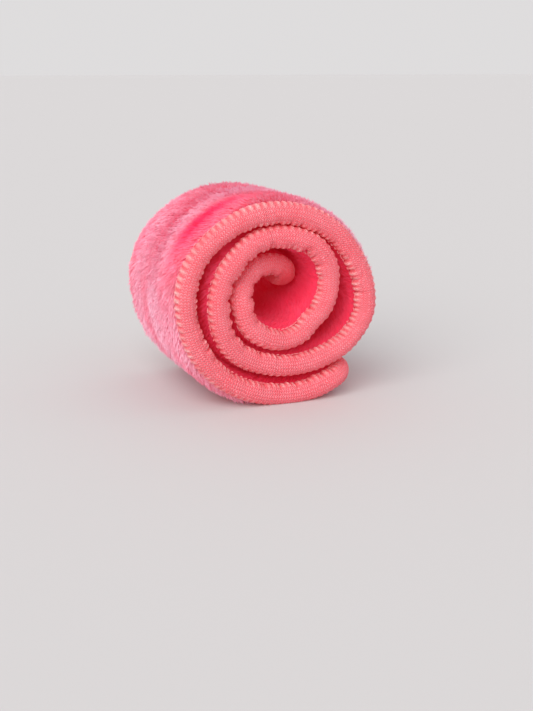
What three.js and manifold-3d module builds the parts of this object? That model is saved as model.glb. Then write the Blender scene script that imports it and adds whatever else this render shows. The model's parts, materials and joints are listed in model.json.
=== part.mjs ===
// Spa headband: one long plush strip, bound all round with knitted tape and closed by a hook strip
// and a loop strip, rolled up and lying on its side.
// Millimetres, +Z up. The roll's axis runs along Y, its front face is at -Y, and the origin lies on
// the ground under the middle of its box.
//
// The strip is one flexible piece. Here it is cut across into stretches, each rigid and curved as it
// lies in the roll, that hinge on the strip's middle surface. Opening every hinge unrolls the strip
// until its stretches lie in one row along the ground.
import * as THREE from 'three';
import { mergeVertices } from 'three/addons/utils/BufferGeometryUtils.js';
import Module from 'manifold-3d';

// ---------------------------------------------------------------- sizes
const STRIP_WIDTH = 94;
const PLUSH_THICKNESS = 10.6;
const BINDING_THICKNESS = 10.2;
const TAPE_THICKNESS = 1.2;
const TAPE_REACH = 8; // from the strip's edge over each face
const CORNER_RADIUS = 14; // of the strip's four corners
const SWELL_WIDTH = 9; // from the tape's border to the full thickness of the plush
const SEAT_GAP = 0.3; // between pieces that touch
const PATCH_THICKNESS = 1;
const PATCH_MARGIN = 2; // between the tape's border and a patch
const HOOK_WIDTH = 50;
const HOOK_LENGTH = 24;
const LOOP_WIDTH = 50;
const LOOP_LENGTH = 58;
const STRETCH_COUNT = 18;
const LAST_STRETCH = 1.3; // length of the one that stays on the ground, against an equal share
const STATION_STEP = 8; // between the cross-sections of a stretch
const SETTLE_DEPTH = 1.2; // how far its weight flattens the roll's underside
const BLUNTING = 0.05; // taken off the point of a round nose
const LIFT_ANGLE = 13; // of the stretch next to the one that stays put, up to where the rest lies level

// The roll, followed from the strip's end in the core outwards. The first turn has its own radii, and
// each later turn lies round the one before it with some room between, as [degrees turned, mm].
const CORE_END_ANGLE = 10; // above +X
const CORE_RADII = [[0, 16], [40, 18], [100, 17.6], [180, 15.5], [240, 17.6], [290, 21.2], [320, 22]];
const LAYER_ROOM = [
  [360, 2.4], [390, 6], [450, 4.6], [480, 2.4], [510, 2.1], [570, 3.4], [620, 2.6], [650, 4.5], [670, 10],
  [690, 15], [720, 8.6], [750, 1.2], [780, 1], [810, 1.4], [840, 4.1], [870, 6.4], [930, 3.6], [960, 4.2],
  [990, 5.2], [1010, 4.6], [1030, 3],
];
const ROUTE_STEP = 20; // degrees between the points of the roll's curve
const SAG = 1.03; // how much wider than tall its own weight makes the roll
const WINDOW_OVERRUN = 14; // past the slanted end of a stretch, when the window is cut in its tape

const PINK = 0xf27fa5;
const SALMON = 0xf9858c;
const HOOK_PINK = 0xe98a9c;

const plushHalf = PLUSH_THICKNESS / 2;
const bindingHalf = BINDING_THICKNESS / 2;
const cavityHalf = bindingHalf - TAPE_THICKNESS;
const tuckedHalf = cavityHalf - SEAT_GAP;
const tuckedEdge = TAPE_THICKNESS + SEAT_GAP;

// ---------------------------------------------------------------- the roll's curve
function lookUp(list, turned) {
  const next = Math.max(1, list.findIndex(([angle]) => angle >= turned));
  const [from, low] = list[next - 1];
  const [to, high] = list[next];
  return THREE.MathUtils.mapLinear(turned, from, to, low, high);
}

const FULL_TURN = 360;
const secondTurnStart = CORE_RADII[0][1] + PLUSH_THICKNESS + LAYER_ROOM[0][1];
const firstTurn = [...CORE_RADII, [FULL_TURN, secondTurnStart]];

function radiusAt(turned) {
  if (turned <= FULL_TURN) return lookUp(firstTurn, turned);
  return radiusAt(turned - FULL_TURN) + PLUSH_THICKNESS + lookUp(LAYER_ROOM, turned);
}

function makeRoute() {
  const points = [];
  const last = LAYER_ROOM.at(-1)[0];
  for (let turned = 0; turned < last + ROUTE_STEP; turned += ROUTE_STEP) {
    const angle = THREE.MathUtils.degToRad(CORE_END_ANGLE + Math.min(turned, last));
    const radius = radiusAt(Math.min(turned, last));
    points.push(new THREE.Vector3(SAG * radius * Math.cos(angle), 0, radius * Math.sin(angle)));
  }
  const curve = new THREE.CatmullRomCurve3(points, false, 'centripetal');
  curve.arcLengthDivisions = 2000;
  return curve;
}

const route = makeRoute();
const stripLength = route.getLength();
const middleAt = (along) => route.getPointAt(THREE.MathUtils.clamp(along / stripLength, 0, 1));
const headingAt = (along) => route.getTangentAt(THREE.MathUtils.clamp(along / stripLength, 0, 1));

// A point off the middle surface: out is the distance away from the roll's core.
function offMiddle(along, out) {
  const heading = headingAt(along);
  return middleAt(along).addScaledVector(new THREE.Vector3(heading.z, 0, -heading.x), out);
}

function lowestOf(out) {
  let lowest = middleAt(0);
  let where = 0;
  for (let along = 0; along <= stripLength; along += 0.5) {
    const point = offMiddle(along, out);
    if (point.z < lowest.z) {
      lowest = point;
      where = along;
    }
  }
  return { height: lowest.z, along: where };
}

const underside = lowestOf(plushHalf);
const groundHeight = underside.height + SETTLE_DEPTH;

// ---------------------------------------------------------------- the stretches
// The strip bends harder near the core, so the stretches are shorter there: each takes an equal share
// of the length over the square root of the radius, and they all stand off a straight line alike. The
// last one is longer, so that the roll's weight rests on it.
function stretchEnds() {
  const step = 0.25;
  const shares = [0];
  for (let along = step; along <= stripLength; along += step) {
    shares.push(shares.at(-1) + step / Math.sqrt(middleAt(along - step / 2).length()));
  }
  const ends = [0];
  for (let index = 1; index < STRETCH_COUNT; index += 1) {
    const wanted = (shares.at(-1) * index) / (STRETCH_COUNT - 1 + LAST_STRETCH);
    ends.push(shares.findIndex((share) => share >= wanted) * step);
  }
  return [...ends, stripLength];
}

const ends = stretchEnds();

function stretchOf(index) {
  const from = ends[index];
  const to = ends[index + 1];
  const chord = middleAt(to).sub(middleAt(from)).normalize();
  return { from, to, chord, first: index === 0, last: index === STRETCH_COUNT - 1 };
}

const stretches = Array.from({ length: STRETCH_COUNT }, (_, index) => stretchOf(index));

// Where a stretch stops along a line that runs out from the middle surface. Towards the core its end
// face lies across the strip and meets its neighbour's in the roll. Away from the core it is cut back
// square to the stretch's chord, and a little more, so that the faces all but meet once it lies flat.
const spareSlope = Math.tan(THREE.MathUtils.degToRad(LIFT_ANGLE / 2));

function endOfLine(stretch, out, atEnd) {
  if (atEnd ? stretch.last : stretch.first) return atEnd ? stretch.to : stretch.from;
  const hinge = atEnd ? stretch.to : stretch.from;
  const pivot = middleAt(hinge);
  const back = atEnd ? 1 : -1;
  const outward = new THREE.Vector3(stretch.chord.z, 0, -stretch.chord.x);
  const across = out > 0 ? stretch.chord.clone().addScaledVector(outward, back * spareSlope) : headingAt(hinge);
  let inside = (stretch.from + stretch.to) / 2;
  let outside = hinge + back * SEAT_GAP;
  for (let halving = 0; halving < 30; halving += 1) {
    const middle = (inside + outside) / 2;
    const past = offMiddle(middle, out).sub(pivot).dot(across) * back + SEAT_GAP / 2;
    if (past > 0) outside = middle;
    else inside = middle;
  }
  return inside;
}

function lineEnds(stretch, out, cache) {
  const key = out.toFixed(4);
  if (!cache.has(key)) cache.set(key, [endOfLine(stretch, out, false), endOfLine(stretch, out, true)]);
  return cache.get(key);
}

// ---------------------------------------------------------------- solids
// Shares of a stretch's length at which its cross-sections stand, closer near a free end of the strip.
// All pieces of a stretch share them, so that their faceted walls stay parallel. A piece may start an
// inset in from the strip's end, and run on past the stretch by an overrun.
const endDepths = [
  0, 0.5, TAPE_THICKNESS, tuckedEdge, tuckedEdge + 0.8, tuckedEdge + 2, bindingHalf + tuckedEdge, TAPE_REACH,
  (TAPE_REACH + CORNER_RADIUS) / 2, CORNER_RADIUS + tuckedEdge,
];

function stationShares(stretch, inset = 0, overrun = 0) {
  const length = stretch.to - stretch.from;
  const count = Math.ceil(length / STATION_STEP);
  const even = Array.from({ length: count }, (_, index) => (index + 1) / count);
  if (!stretch.first && !stretch.last) return [0, ...even];
  const shares = endDepths.filter((depth) => depth >= inset).map((depth) => depth / length);
  shares.push(...even.filter((share) => share > shares.at(-1) + 0.05));
  if (overrun > 0) shares.push(1 + overrun / length);
  return stretch.first ? shares : shares.map((share) => 1 - share).reverse();
}

// Joins cross-sections of the same number of points into one closed body. outlineAt gives the points
// [across, out] of a cross-section at a distance from the strip's nearest end: out along one wall and
// back along the other, so that point i faces the point i before the last.
function loft(stretch, outlineAt, shares) {
  const cache = new Map();
  const positions = [];
  let size = 0;
  for (const share of shares) {
    const middle = THREE.MathUtils.lerp(stretch.from, stretch.to, share);
    const outline = outlineAt(Math.min(middle, stripLength - middle));
    size = outline.length;
    for (const [across, out] of outline) {
      const [first, last] = lineEnds(stretch, out, cache);
      const point = offMiddle(THREE.MathUtils.lerp(first, last, share), out);
      positions.push(point.x, across, Math.max(point.z, groundHeight));
    }
  }
  const faces = [];
  for (let row = 0; row + 1 < shares.length; row += 1) {
    for (let column = 0; column < size; column += 1) {
      const here = row * size + column;
      const next = row * size + ((column + 1) % size);
      faces.push(here, next, here + size, next, next + size, here + size);
    }
  }
  const lastRow = (shares.length - 1) * size;
  for (let column = 0; column + 1 < size / 2; column += 1) {
    const facing = size - 1 - column;
    faces.push(column, facing, column + 1, column + 1, facing, facing - 1);
    faces.push(lastRow + column, lastRow + column + 1, lastRow + facing);
    faces.push(lastRow + column + 1, lastRow + facing - 1, lastRow + facing);
  }
  const geometry = new THREE.BufferGeometry();
  geometry.setAttribute('position', new THREE.Float32BufferAttribute(positions, 3));
  geometry.setIndex(faces);
  return geometry;
}

const NOSE_SHARE = 1 - Math.cos(Math.PI / 4); // in from the edge, where a nose's middle corner stands

// Half the thickness at a distance in from an edge: a round nose, then level.
function noseHalf(distance, half) {
  const inside = half - THREE.MathUtils.clamp(distance + BLUNTING, BLUNTING, half);
  return Math.sqrt(half * half - inside * inside);
}

// Half the width of a strip with round corners, at a distance from its end.
function halfWidth(fullHalf, radius, fromEnd) {
  const inside = radius - THREE.MathUtils.clamp(fromEnd, 0, radius);
  return fullHalf - radius + Math.sqrt(radius * radius - inside * inside);
}

// A whole cross-section: the same distances in from both edges, above and below the middle surface.
function fullOutline(half, distances, halfAt) {
  const left = distances.map((distance) => [distance - half, halfAt(distance)]);
  const right = left.map(([across, out]) => [-across, out]).reverse();
  const upper = [...left, ...right];
  return [...upper, ...upper.map(([across, out]) => [across, -out]).reverse()];
}

// The plush, thin where the tape holds it and swelling to its full thickness away from the tape.
function plushOutline(fromEnd) {
  const reach = TAPE_REACH - tuckedEdge;
  const distances = [0, tuckedHalf * NOSE_SHARE, tuckedHalf, reach, reach + SWELL_WIDTH / 2, reach + SWELL_WIDTH];
  const endDistance = fromEnd - tuckedEdge;
  const half = halfWidth(STRIP_WIDTH / 2 - tuckedEdge, CORNER_RADIUS - tuckedEdge, endDistance);
  return fullOutline(half, distances, (distance) => {
    const nearest = Math.min(distance, endDistance);
    const swell = THREE.MathUtils.smoothstep(nearest, reach, reach + SWELL_WIDTH);
    return noseHalf(nearest, tuckedHalf) + (plushHalf - tuckedHalf) * swell;
  });
}

// The tape round one long edge, as a channel open towards the plush. side is -1 at the front.
function channelOutline(side) {
  const wall = (half, inset) => {
    const arc = [90, 45, 0, -45, -90].map((degrees) => {
      const angle = THREE.MathUtils.degToRad(degrees);
      return [STRIP_WIDTH / 2 - inset - half + half * Math.cos(angle), half * Math.sin(angle)];
    });
    const border = STRIP_WIDTH / 2 - TAPE_REACH;
    return [[border, half], ...arc, [border, -half]];
  };
  const outline = [...wall(bindingHalf, 0), ...wall(cavityHalf, TAPE_THICKNESS).reverse()];
  const placed = outline.map(([across, out]) => [side * across, out]);
  return side < 0 ? placed.reverse() : placed;
}

const wasm = await Module();
wasm.setup();

function toSolid(geometry) {
  const merged = mergeVertices(geometry, 1e-4);
  return new wasm.Manifold(new wasm.Mesh({
    numProp: 3,
    vertProperties: merged.attributes.position.array,
    triVerts: Uint32Array.from(merged.index.array),
  }));
}

function fromSolid(solid) {
  const mesh = solid.getMesh();
  const geometry = new THREE.BufferGeometry();
  geometry.setAttribute('position', new THREE.BufferAttribute(mesh.vertProperties, 3));
  geometry.setIndex(new THREE.BufferAttribute(mesh.triVerts, 1));
  return geometry;
}

// The tape round an end of the strip: both long edges and the end itself, in one piece. It is the
// strip's whole outer form, less the room for the plush, less the window between the tape's borders.
function endBinding(stretch) {
  const hollow = (half, inset) => (fromEnd) => {
    const distances = [0, half * NOSE_SHARE, half];
    const width = halfWidth(STRIP_WIDTH / 2 - inset, CORNER_RADIUS - inset, fromEnd - inset);
    return fullOutline(width, distances, (distance) => noseHalf(Math.min(distance, fromEnd - inset), half));
  };
  const window = (fromEnd) => {
    const width = halfWidth(STRIP_WIDTH / 2 - TAPE_REACH, CORNER_RADIUS - TAPE_REACH, fromEnd - TAPE_REACH);
    return fullOutline(width, [0], () => PLUSH_THICKNESS);
  };
  const solid = toSolid(loft(stretch, hollow(bindingHalf, 0), stationShares(stretch)));
  const cuts = [
    [hollow(cavityHalf, TAPE_THICKNESS), TAPE_THICKNESS, 2],
    [window, TAPE_REACH, WINDOW_OVERRUN],
  ];
  const cut = (left, [outline, inset, overrun]) =>
    left.subtract(toSolid(loft(stretch, outline, stationShares(stretch, inset, overrun))));
  return fromSolid(cuts.reduce(cut, solid));
}

// A sewn patch on one face of a stretch: face is 1 away from the core and -1 towards it. It runs over
// the part of the stretch between two distances along the strip.
function patch(stretch, face, width, from, to) {
  const low = plushHalf + SEAT_GAP;
  const high = low + PATCH_THICKNESS;
  const [upper, lower] = face > 0 ? [high, low] : [-low, -high];
  const half = width / 2;
  const outline = () => [[-half, upper], [half, upper], [half, lower], [-half, lower]];
  const length = stretch.to - stretch.from;
  const first = Math.max(0, (from - stretch.from) / length);
  const last = Math.min(1, (to - stretch.from) / length);
  const between = stationShares(stretch).filter((share) => share > first + 0.02 && share < last - 0.02);
  return loft(stretch, outline, [first, ...between, last]);
}

// ---------------------------------------------------------------- the headband
const headband = new THREE.Group();

function finish(color, roughness) {
  return new THREE.MeshStandardMaterial({ color, roughness, metalness: 0 });
}

const plushFinish = finish(PINK, 0.95);
const tapeFinish = finish(SALMON, 0.8);
const hookFinish = finish(HOOK_PINK, 0.6);
const loopFinish = finish(SALMON, 0.9);

function add(name, geometry, material) {
  const mesh = new THREE.Mesh(geometry, material);
  mesh.name = name;
  headband.add(mesh);
}

const numbered = (name, index) => `${name}_${String(index + 1).padStart(2, '0')}`;

stretches.forEach((stretch, index) => {
  const plushInset = stretch.first || stretch.last ? tuckedEdge : 0;
  add(numbered('plush', index), loft(stretch, plushOutline, stationShares(stretch, plushInset)), plushFinish);
  if (stretch.first || stretch.last) {
    add(stretch.first ? 'core_end_binding' : 'outer_end_binding', endBinding(stretch), tapeFinish);
    return;
  }
  [['front_binding', -1], ['back_binding', 1]].forEach(([name, side]) => {
    const outline = channelOutline(side);
    add(numbered(name, index), loft(stretch, () => outline, stationShares(stretch)), tapeFinish);
  });
});

// The loop strip is sewn near the core end, on the face away from the core, and the hook strip near
// the outer end, on the face towards the core: they meet when the headband is wrapped round a head.
const patchStart = TAPE_REACH + PATCH_MARGIN;
const loopEnd = patchStart + LOOP_LENGTH;
stretches.filter((stretch) => stretch.from < loopEnd).forEach((stretch, index) => {
  add(numbered('loop_strip', index), patch(stretch, 1, LOOP_WIDTH, patchStart, loopEnd), loopFinish);
});
const hookEnd = stripLength - patchStart;
add('hook_strip', patch(stretches.at(-1), -1, HOOK_WIDTH, hookEnd - HOOK_LENGTH, hookEnd), hookFinish);

// ---------------------------------------------------------------- place and hinges
const outline = [];
for (let along = 0; along <= stripLength; along += 0.5) outline.push(offMiddle(along, plushHalf));
const box = new THREE.Box3().setFromPoints(outline);
headband.position.set(-(box.min.x + box.max.x) / 2, 0, -groundHeight);

// Each hinge lies where two stretches meet, on the middle surface, along Y, and opens until their
// chords are in line and level. The outermost stretch stays as it is on the ground, so the one next to
// it stops at the lift angle, and the hinge after that one makes up for it.
function opening(index) {
  const { chord } = stretches[index];
  const lift = THREE.MathUtils.degToRad(LIFT_ANGLE);
  if (index === STRETCH_COUNT - 2) return chord.angleTo(new THREE.Vector3(Math.cos(lift), 0, -Math.sin(lift)));
  const straight = chord.angleTo(stretches[index + 1].chord);
  return index === STRETCH_COUNT - 3 ? straight + lift : straight;
}

headband.userData = {
  stripLength,
  hinges: stretches.slice(1).map((stretch, index) => ({
    between: [index + 1, index + 2],
    at: middleAt(stretch.from).add(headband.position).toArray(),
    opens: THREE.MathUtils.radToDeg(opening(index)),
  })),
};

export default headband;
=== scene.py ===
# %% [markdown]
# # A plush headband, rolled up
# One long strip of two-sided plush, bound all round with knitted tape and closed by a hook strip and a
# loop strip. It lies on its side, rolled into three turns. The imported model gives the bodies, the hinges
# and the size; everything made here is the fine surface on top of them, in metres.

import json
import math

import bpy
import numpy as np
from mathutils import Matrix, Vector

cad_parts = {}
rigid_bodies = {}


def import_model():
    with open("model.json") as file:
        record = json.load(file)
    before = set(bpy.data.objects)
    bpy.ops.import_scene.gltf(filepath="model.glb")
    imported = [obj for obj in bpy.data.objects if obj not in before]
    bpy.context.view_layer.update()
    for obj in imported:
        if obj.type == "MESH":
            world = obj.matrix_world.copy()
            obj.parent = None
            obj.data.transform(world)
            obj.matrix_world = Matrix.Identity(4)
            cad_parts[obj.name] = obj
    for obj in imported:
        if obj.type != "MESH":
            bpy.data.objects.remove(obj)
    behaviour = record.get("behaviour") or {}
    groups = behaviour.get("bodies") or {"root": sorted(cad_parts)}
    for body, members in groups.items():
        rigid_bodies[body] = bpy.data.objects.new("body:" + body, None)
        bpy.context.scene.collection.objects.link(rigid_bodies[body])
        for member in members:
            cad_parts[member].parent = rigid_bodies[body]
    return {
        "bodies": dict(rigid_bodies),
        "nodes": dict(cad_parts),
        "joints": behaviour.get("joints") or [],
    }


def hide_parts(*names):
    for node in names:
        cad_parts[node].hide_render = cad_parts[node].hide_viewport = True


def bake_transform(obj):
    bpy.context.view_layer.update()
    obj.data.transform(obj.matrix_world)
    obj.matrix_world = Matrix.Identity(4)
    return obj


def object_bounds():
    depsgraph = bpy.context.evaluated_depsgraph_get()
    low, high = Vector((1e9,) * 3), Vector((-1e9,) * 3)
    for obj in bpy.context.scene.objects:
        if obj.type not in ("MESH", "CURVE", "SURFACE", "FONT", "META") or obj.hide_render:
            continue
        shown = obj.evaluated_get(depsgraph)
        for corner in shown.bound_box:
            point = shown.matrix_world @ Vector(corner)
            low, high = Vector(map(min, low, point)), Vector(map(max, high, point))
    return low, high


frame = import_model()
cad_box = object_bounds()
print("the packed model's box:", [round(x, 4) for corner in cad_box for x in corner])

# %% [markdown]
# ## The sizes of the strip
# A headband is cut and sewn flat, so its sizes are those of a flat strip: its width, its thickness, how
# far the tape reaches over each face. Every piece below is laid out flat first and then carried into
# the roll by one rule, as the real one is.

# %% Sizes
MM = 0.001
STRIP_WIDTH = 94 * MM
PLUSH_THICKNESS = 10.6 * MM
TAPE_HALF = 5.1 * MM
TAPE_THICKNESS = 1.2 * MM
TAPE_REACH = 8 * MM
CORNER_RADIUS = 14 * MM
SETTLE_DEPTH = 1.2 * MM
HALF_WIDTH = STRIP_WIDTH / 2
GROUND_HALF = 4.6 * MM  # half the thickness of the plush without its pile
FREE_SWELL = 1.3 * MM  # more on the outermost face, which nothing presses

# %% [markdown]
# ## The roll's curve
# The roll is drawn in polar form: the first turn has radii of its own, and each later turn lies round
# the one before it, a thickness and some room further out. The points are joined by a centripetal
# Catmull-Rom curve, which passes through each of them and never makes a loop where they lie close. The
# curve is then measured, so that a distance along the flat strip has one place in the roll.

# %% The curve of the roll
CORE_END_ANGLE = 10
ROUTE_STEP = 20
FULL_TURN = 360
CORE_RADII = [(0, 16), (40, 18), (100, 17.6), (180, 15.5), (240, 17.6), (290, 21.2), (320, 22)]
LAYER_ROOM = [
    (360, 2.4), (390, 6), (450, 4.6), (480, 2.4), (510, 2.1), (570, 3.4), (620, 2.6), (650, 4.5),
    (670, 10), (690, 15), (720, 8.6), (750, 1.2), (780, 1), (810, 1.4), (840, 4.1), (870, 6.4),
    (930, 3.6), (960, 4.2), (990, 5.2), (1010, 4.6), (1030, 3),
]
SAG = 1.03  # how much wider than tall its own weight makes the roll
STEPS_BETWEEN = 120  # points of the curve from one given point to the next
FIRST_TURN = CORE_RADII + [(FULL_TURN, CORE_RADII[0][1] + PLUSH_THICKNESS / MM + LAYER_ROOM[0][1])]


def look_up(pairs, turned):
    return float(np.interp(turned, *zip(*pairs)))


def radius_at(turned):
    if turned <= FULL_TURN:
        return look_up(FIRST_TURN, turned) * MM
    return radius_at(turned - FULL_TURN) + PLUSH_THICKNESS + look_up(LAYER_ROOM, turned) * MM


def through_points(points, steps):
    """A centripetal Catmull-Rom curve through the points, with so many steps from each to the next."""
    ends = [2 * points[0] - points[1], *points, 2 * points[-1] - points[-2]]
    t = np.linspace(0, 1, steps, endpoint=False)[:, None]
    runs = []
    for a, b, c, d in zip(ends, ends[1:], ends[2:], ends[3:]):
        before, here, after = [np.linalg.norm(q - p) ** 0.5 for p, q in ((a, b), (b, c), (c, d))]
        leave = here * ((b - a) / before - (c - a) / (before + here)) + c - b
        arrive = here * ((d - c) / after - (d - b) / (here + after)) + c - b
        cubic = 2 * (b - c) + leave + arrive
        square = 3 * (c - b) - 2 * leave - arrive
        runs.append(((cubic * t + square) * t + leave) * t + b)
    return np.concatenate([*runs, [points[-1]]])


def roll_curve():
    last = LAYER_ROOM[-1][0]
    turned = [*range(0, last, ROUTE_STEP), last]
    turns = np.radians(CORE_END_ANGLE + np.array(turned))
    radii = np.array([radius_at(one) for one in turned])
    points = radii[:, None] * np.stack([SAG * np.cos(turns), np.sin(turns)], axis=1)
    return through_points(points, STEPS_BETWEEN)


ROUTE = roll_curve()
ROUTE_AT = np.concatenate([[0], np.cumsum(np.linalg.norm(np.diff(ROUTE, axis=0), axis=1))])
LENGTH = ROUTE_AT[-1]
HEADING = np.gradient(ROUTE, ROUTE_AT, axis=0)
HEADING /= np.linalg.norm(HEADING, axis=1)[:, None]
OUTWARD = np.stack([HEADING[:, 1], -HEADING[:, 0]], axis=1)
outer_face = ROUTE + OUTWARD * PLUSH_THICKNESS / 2
ROUTE -= [(outer_face[:, 0].min() + outer_face[:, 0].max()) / 2, outer_face[:, 1].min() + SETTLE_DEPTH]
print(f"the strip is {LENGTH / MM:.1f} mm long")

# %% [markdown]
# ## From the flat strip into the roll
# `in_roll` takes a place on the flat strip - the distance along it, the distance across it and the
# height over its middle surface, counted away from the core - and gives its place in the roll. What
# would reach below the ground is pressed flat on it, as the roll's own weight does. The end in
# the core is drawn in from the open face, as far as fingers push it when they let go of the roll.

# %% Flat to rolled
def along_route(values, along):
    return np.stack([np.interp(along, ROUTE_AT, values[:, i]) for i in (0, 1)], axis=-1)


CORE_TUCK = 26 * MM  # how far the strip's end in the core is drawn in from the open face
TUCKED_LENGTH = 80 * MM
TUCK_CURVE = 2.1


def in_roll(along, across, out):
    along = np.clip(along, 0, LENGTH)
    tuck = CORE_TUCK * (1 - np.clip(along / TUCKED_LENGTH, 0, 1)) ** TUCK_CURVE
    across = across + tuck * np.clip(-across / HALF_WIDTH, 0, 1)
    flat = along_route(ROUTE, along) + along_route(OUTWARD, along) * np.asarray(out)[..., None]
    point = np.stack([flat[..., 0], np.broadcast_to(across, flat.shape[:-1]), flat[..., 1]], axis=-1)
    point[..., 2] = np.maximum(point[..., 2], 0)
    return point


def direction_in_roll(along, vector):
    """A direction on the flat strip, as (along, across, out), turned as the strip is turned there."""
    ahead = along_route(HEADING, along)
    outward = along_route(OUTWARD, along)
    turned = np.zeros(vector.shape)
    turned[..., [0, 2]] = ahead * vector[..., :1] + outward * vector[..., 2:]
    turned[..., 1] = vector[..., 1]
    return turned


# %% [markdown]
# ## Where the pieces are cut
# Each hinge of the imported model joins two short stretches of the strip. Real fabric has no such cuts:
# it bends evenly. So every surface here is made in pieces that run from the middle of one stretch to
# the middle of the next.

# %% Stretches and cuts
STRETCHES = sorted(frame["bodies"])
hinge_at = {j["child"]: np.array(j["pos_m"]) for j in frame["joints"]}


def nearest_along(point):
    return ROUTE_AT[np.argmin(np.linalg.norm(ROUTE - point[[0, 2]], axis=1))]


hinges = [nearest_along(hinge_at[name]) for name in STRETCHES[:-1]]
ends = np.array([0, *hinges, LENGTH])
middles = (ends[:-1] + ends[1:]) / 2
CUTS = np.array([0, *middles[1:-1], LENGTH])
PIECES = range(len(STRETCHES) - 1)


def numbered(name, index):
    return f"{name}_{index + 1:02d}"


def ride_along(obj, index):
    """Bakes the piece's transform into its mesh; the piece is not tied to the stretches that its hinge joins.
    """
    start, end = [in_roll(middles[index + i], 0.0, 0.0) for i in (0, 1)]
    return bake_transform(obj)


print(f"{len(STRETCHES)} stretches, pieces cut at {[round(c / MM) for c in CUTS]} mm")

# %% [markdown]
# ## Small helpers for meshes
# Most surfaces here are rings of points set one after the other along a path and closed at both ends.
# The ends are flat-shaded, so that the smooth shading of the sides doesn't bend towards them.

# %% Mesh helpers
def new_object(name, mesh, material=None):
    obj = bpy.data.objects.new(name, mesh)
    bpy.context.scene.collection.objects.link(obj)
    if material:
        mesh.materials.append(material)
    return obj


def ring_mesh(name, rings, attributes=()):
    """A closed mesh through rings of points, shape (rings, points, 3), with values at its points."""
    count, size = rings.shape[:2]
    row, column = np.meshgrid(np.arange(count - 1), np.arange(size), indexing="ij")
    here, beside = row * size + column, row * size + (column + 1) % size
    sides = np.stack([here, beside, beside + size, here + size], axis=-1).reshape(-1, 4)
    first, last = np.arange(size)[::-1], np.arange(size) + (count - 1) * size
    corners = rings[:-1], np.roll(rings, -1, axis=1)[:-1], np.roll(rings, -1, axis=1)[1:]
    normal = np.cross(corners[1] - corners[0], corners[2] - corners[0])
    if ((corners[0] - rings.mean(axis=1)[:-1, None]) * normal).sum() < 0:
        sides, first, last = sides[:, ::-1], first[::-1], last[::-1]
    mesh = bpy.data.meshes.new(name)
    mesh.from_pydata(rings.reshape(-1, 3).tolist(), [], [*sides.tolist(), first.tolist(), last.tolist()])
    smooth = np.ones(len(mesh.polygons), bool)
    smooth[-2:] = False
    mesh.polygons.foreach_set("use_smooth", smooth)
    for label, kind, values in attributes:
        field = "vector" if kind == "FLOAT_VECTOR" else "value"
        mesh.attributes.new(label, kind, "POINT").data.foreach_set(field, values.astype(np.float32).ravel())
    return mesh


def smooth_step(value, low, high):
    share = np.clip((value - low) / (high - low), 0, 1)
    return share * share * (3 - 2 * share)


def wander(values, seed, spacing, amount):
    """Smooth random values along a line, the same ones each time."""
    knots = np.arange(-40, int(np.max(values) / spacing) + 42)
    draws = np.random.default_rng(seed).uniform(-1, 1, len(knots))
    place = np.asarray(values) / spacing + 40
    low = np.floor(place).astype(int)
    share = smooth_step(place - low, 0, 1)
    return amount * (draws[low] * (1 - share) + draws[low + 1] * share)

# %% [markdown]
# ## Building node trees
# Short functions keep the node code readable. The first adds a node, sets its options and plugs in its
# inputs; the next declares a tree's named sockets; the rest are the few kinds that come up again.

# %% Node helpers
def add_node(tree, kind, inputs=None, **options):
    node = tree.nodes.new(kind)
    for key, value in options.items():
        setattr(node, key, value)
    for key, value in (inputs or {}).items():
        socket = node.inputs[key]
        if isinstance(value, bpy.types.NodeSocket):
            tree.links.new(value, socket)
        else:
            socket.default_value = value
    return node


def new_tree(name, kind, inputs, outputs):
    tree = bpy.data.node_groups.new(name, kind)
    for direction, sockets in (("INPUT", inputs), ("OUTPUT", outputs)):
        for label, socket_type, *default in sockets:
            socket = tree.interface.new_socket(name=label, in_out=direction, socket_type=socket_type)
            if default:
                socket.default_value = default[0]
    return tree, tree.nodes.new("NodeGroupInput"), tree.nodes.new("NodeGroupOutput")


def math_node(tree, operation, *values):
    node = add_node(tree, "ShaderNodeMath", dict(enumerate(values)), operation=operation)
    return node.outputs[0]


def vector_node(tree, operation, *values):
    return add_node(tree, "ShaderNodeVectorMath", dict(enumerate(values)), operation=operation).outputs


def noise_node(tree, place, scale, detail):
    return add_node(tree, "ShaderNodeTexNoise", {"Vector": place, "Scale": scale, "Detail": detail}).outputs


def stored_value(tree, name, data_type="FLOAT"):
    node = add_node(tree, "GeometryNodeInputNamedAttribute", {"Name": name}, data_type=data_type)
    return node.outputs[0]


def put_on_points(tree, result, points, piece, direction, scale, finish):
    """Ends a tree: the piece on every point, its Z turned to the direction there, as plain mesh."""
    turned = add_node(tree, "FunctionNodeAlignRotationToVector", {"Vector": direction}, axis="Z")
    placed = add_node(tree, "GeometryNodeInstanceOnPoints",
                      {"Points": points, "Instance": piece,
                       "Rotation": turned.outputs["Rotation"], "Scale": scale})
    plain = add_node(tree, "GeometryNodeRealizeInstances", {"Geometry": placed.outputs["Instances"]})
    dressed = add_node(tree, "GeometryNodeSetMaterial",
                       {"Geometry": plain.outputs["Geometry"], "Material": finish})
    tree.links.new(dressed.outputs["Geometry"], result.inputs["Geometry"])


# %% [markdown]
# ## The camera, the floor and the light
# The camera stands a little to the left of the roll's open face and looks down on it, from about an arm
# length away. The light is that of a white room: a pale sky all round, and the soft light of a large
# window on the left, which falls on the whole floor alike.

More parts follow.
